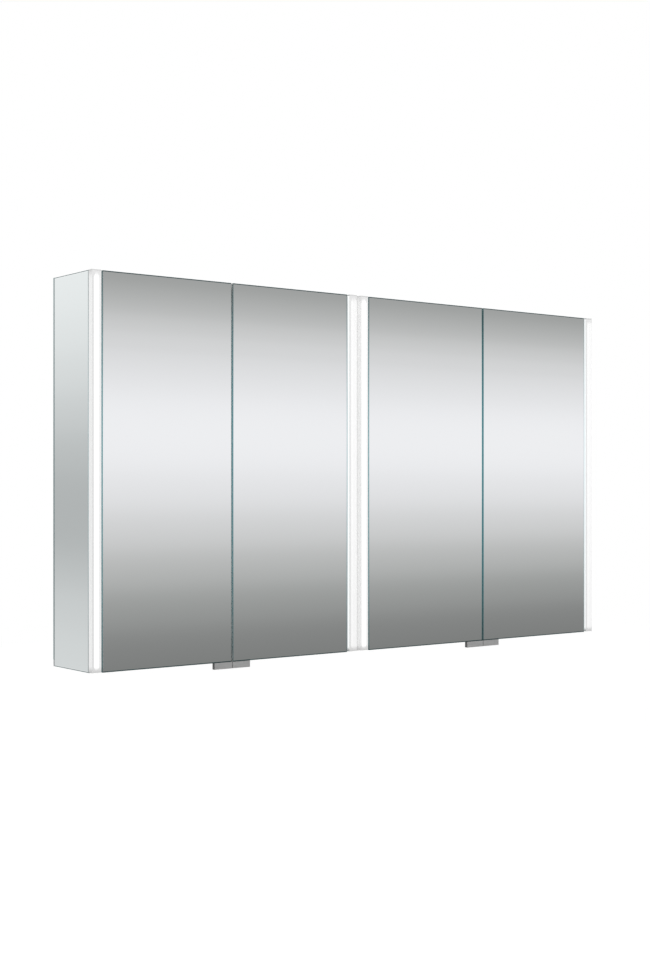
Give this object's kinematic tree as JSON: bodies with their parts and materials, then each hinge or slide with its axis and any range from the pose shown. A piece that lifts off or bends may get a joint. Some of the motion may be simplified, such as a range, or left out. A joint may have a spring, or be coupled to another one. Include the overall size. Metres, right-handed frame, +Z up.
{
  "type": "medicine cabinet with mirror",
  "caption": "Wall-hung mirror cabinet with hinged mirror doors in two pairs, lit vertical light strips, mirrored sides and glass shelves inside.",
  "frame": {"origin": "middle of the four wall screws, on the wall face of the rear sheet, at mid height of the doors", "axes": "+X to the viewer's right along the cabinet, +Y into the wall, +Z up; the doors face -Y"},
  "size_m": [1.2, 0.137, 0.6776],
  "materials": {
    "white_panel": "satin white lacquer",
    "rear_sheet": "grey coated sheet",
    "mirror": "silvered glass with ground edges",
    "edge_trim": "anodised grey",
    "diffuser": "opal, lit from behind",
    "end_cap": "pale grey",
    "aluminium": "anodised",
    "led_board": "white board",
    "shelf_glass": "clear float glass",
    "brushed_metal": "fine horizontal brushing",
    "hinge_steel": "nickel plated",
    "clear_rubber": "translucent",
    "black_rubber": "matte",
    "driver_case": "moulded",
    "switch_plastic": "moulded white"
  },
  "bodies": {
    "cabinet": {"top_panel": "white_panel", "bottom_panel": "white_panel", "left_side_panel": "white_panel", "right_side_panel": "white_panel", "left_partition": "white_panel", "right_partition": "white_panel", "centre_spacer": "white_panel", "rear_sheet": "rear_sheet", "left_side_mirror": "mirror", "right_side_mirror": "mirror", "rear_edge_trims": "edge_trim", "left_back_mirror": "mirror", "right_back_mirror": "mirror", "light_diffuser_1": "diffuser", "light_diffuser_2": "diffuser", "light_diffuser_3": "diffuser", "light_diffuser_4": "diffuser", "light_base_profiles": "aluminium", "led_boards": "led_board", "light_end_caps": "end_cap", "glass_shelf_1": "shelf_glass", "glass_shelf_2": "shelf_glass", "glass_shelf_3": "shelf_glass", "glass_shelf_4": "shelf_glass", "shelf_pins": "hinge_steel", "hinge_arms": "hinge_steel", "hinge_arm_pins": "hinge_steel", "hinge_screws": "hinge_steel", "door_bumpers": "clear_rubber", "led_driver": "driver_case", "driver_screws": "hinge_steel", "cable_gland": "black_rubber", "switch_plate": "switch_plastic", "mounting_bushes": "aluminium"},
    "inner_links_1": {"inner_links_1": "hinge_steel"},
    "outer_links_1": {"outer_links_1": "hinge_steel"},
    "door_1": {"front_mirror_1": "mirror", "rear_mirror_1": "mirror", "door_handle_1": "brushed_metal", "hinge_brackets_1": "hinge_steel"},
    "inner_links_2": {"inner_links_2": "hinge_steel"},
    "outer_links_2": {"outer_links_2": "hinge_steel"},
    "door_2": {"front_mirror_2": "mirror", "rear_mirror_2": "mirror", "door_handle_2": "brushed_metal", "hinge_brackets_2": "hinge_steel"},
    "inner_links_3": {"inner_links_3": "hinge_steel"},
    "outer_links_3": {"outer_links_3": "hinge_steel"},
    "door_3": {"front_mirror_3": "mirror", "rear_mirror_3": "mirror", "door_handle_3": "brushed_metal", "hinge_brackets_3": "hinge_steel"},
    "inner_links_4": {"inner_links_4": "hinge_steel"},
    "outer_links_4": {"outer_links_4": "hinge_steel"},
    "door_4": {"front_mirror_4": "mirror", "rear_mirror_4": "mirror", "door_handle_4": "brushed_metal", "hinge_brackets_4": "hinge_steel"},
    "switch_rocker": {"switch_rocker": "switch_plastic"}
  },
  "joints": [
    {"name": "door_1_inner_link_pivot", "type": "hinge", "parent": "cabinet", "child": "inner_links_1", "pos_m": [-0.5581, -0.124, 0], "axis": [0, 0, 1], "range_deg": [0, 95.5]},
    {"name": "door_1_hinge", "type": "hinge", "parent": "inner_links_1", "child": "door_1", "pos_m": [-0.5729, -0.1232, 0], "axis": [0, 0, -1], "range_deg": [0, 190]},
    {"name": "door_1_outer_link_pivot", "type": "hinge", "parent": "cabinet", "child": "outer_links_1", "pos_m": [-0.5282, -0.0975, 0], "axis": [0, 0, 1], "range_deg": [0, 41.35]},
    {"name": "door_2_inner_link_pivot", "type": "hinge", "parent": "cabinet", "child": "inner_links_2", "pos_m": [-0.0831, -0.124, 0], "axis": [0, 0, -1], "range_deg": [0, 90.5]},
    {"name": "door_2_hinge", "type": "hinge", "parent": "inner_links_2", "child": "door_2", "pos_m": [-0.0683, -0.1232, 0], "axis": [0, 0, 1], "range_deg": [0, 180]},
    {"name": "door_2_outer_link_pivot", "type": "hinge", "parent": "cabinet", "child": "outer_links_2", "pos_m": [-0.113, -0.0975, 0], "axis": [0, 0, -1], "range_deg": [0, 39.2]},
    {"name": "door_3_inner_link_pivot", "type": "hinge", "parent": "cabinet", "child": "inner_links_3", "pos_m": [0.0097, -0.124, 0], "axis": [0, 0, 1], "range_deg": [0, 90.5]},
    {"name": "door_3_hinge", "type": "hinge", "parent": "inner_links_3", "child": "door_3", "pos_m": [-0.0051, -0.1232, 0], "axis": [0, 0, -1], "range_deg": [0, 180]},
    {"name": "door_3_outer_link_pivot", "type": "hinge", "parent": "cabinet", "child": "outer_links_3", "pos_m": [0.0396, -0.0975, 0], "axis": [0, 0, 1], "range_deg": [0, 39.2]},
    {"name": "door_4_inner_link_pivot", "type": "hinge", "parent": "cabinet", "child": "inner_links_4", "pos_m": [0.5581, -0.124, 0], "axis": [0, 0, -1], "range_deg": [0, 95.5]},
    {"name": "door_4_hinge", "type": "hinge", "parent": "inner_links_4", "child": "door_4", "pos_m": [0.5729, -0.1232, 0], "axis": [0, 0, 1], "range_deg": [0, 190]},
    {"name": "door_4_outer_link_pivot", "type": "hinge", "parent": "cabinet", "child": "outer_links_4", "pos_m": [0.5282, -0.0975, 0], "axis": [0, 0, -1], "range_deg": [0, 41.35]},
    {"name": "light_switch_rock", "type": "hinge", "parent": "cabinet", "child": "switch_rocker", "pos_m": [0.5, -0.022, 0], "axis": [-1, 0, 0], "range_deg": [0, 12]}
  ],
  "couplings": [
    {"joint": "door_1_inner_link_pivot", "follows": "door_1_hinge", "ratio": 0.5},
    {"joint": "door_1_outer_link_pivot", "follows": "door_1_hinge", "ratio": 0.215},
    {"joint": "door_2_inner_link_pivot", "follows": "door_2_hinge", "ratio": 0.5},
    {"joint": "door_2_outer_link_pivot", "follows": "door_2_hinge", "ratio": 0.215},
    {"joint": "door_3_inner_link_pivot", "follows": "door_3_hinge", "ratio": 0.5},
    {"joint": "door_3_outer_link_pivot", "follows": "door_3_hinge", "ratio": 0.215},
    {"joint": "door_4_inner_link_pivot", "follows": "door_4_hinge", "ratio": 0.5},
    {"joint": "door_4_outer_link_pivot", "follows": "door_4_hinge", "ratio": 0.215}
  ]
}
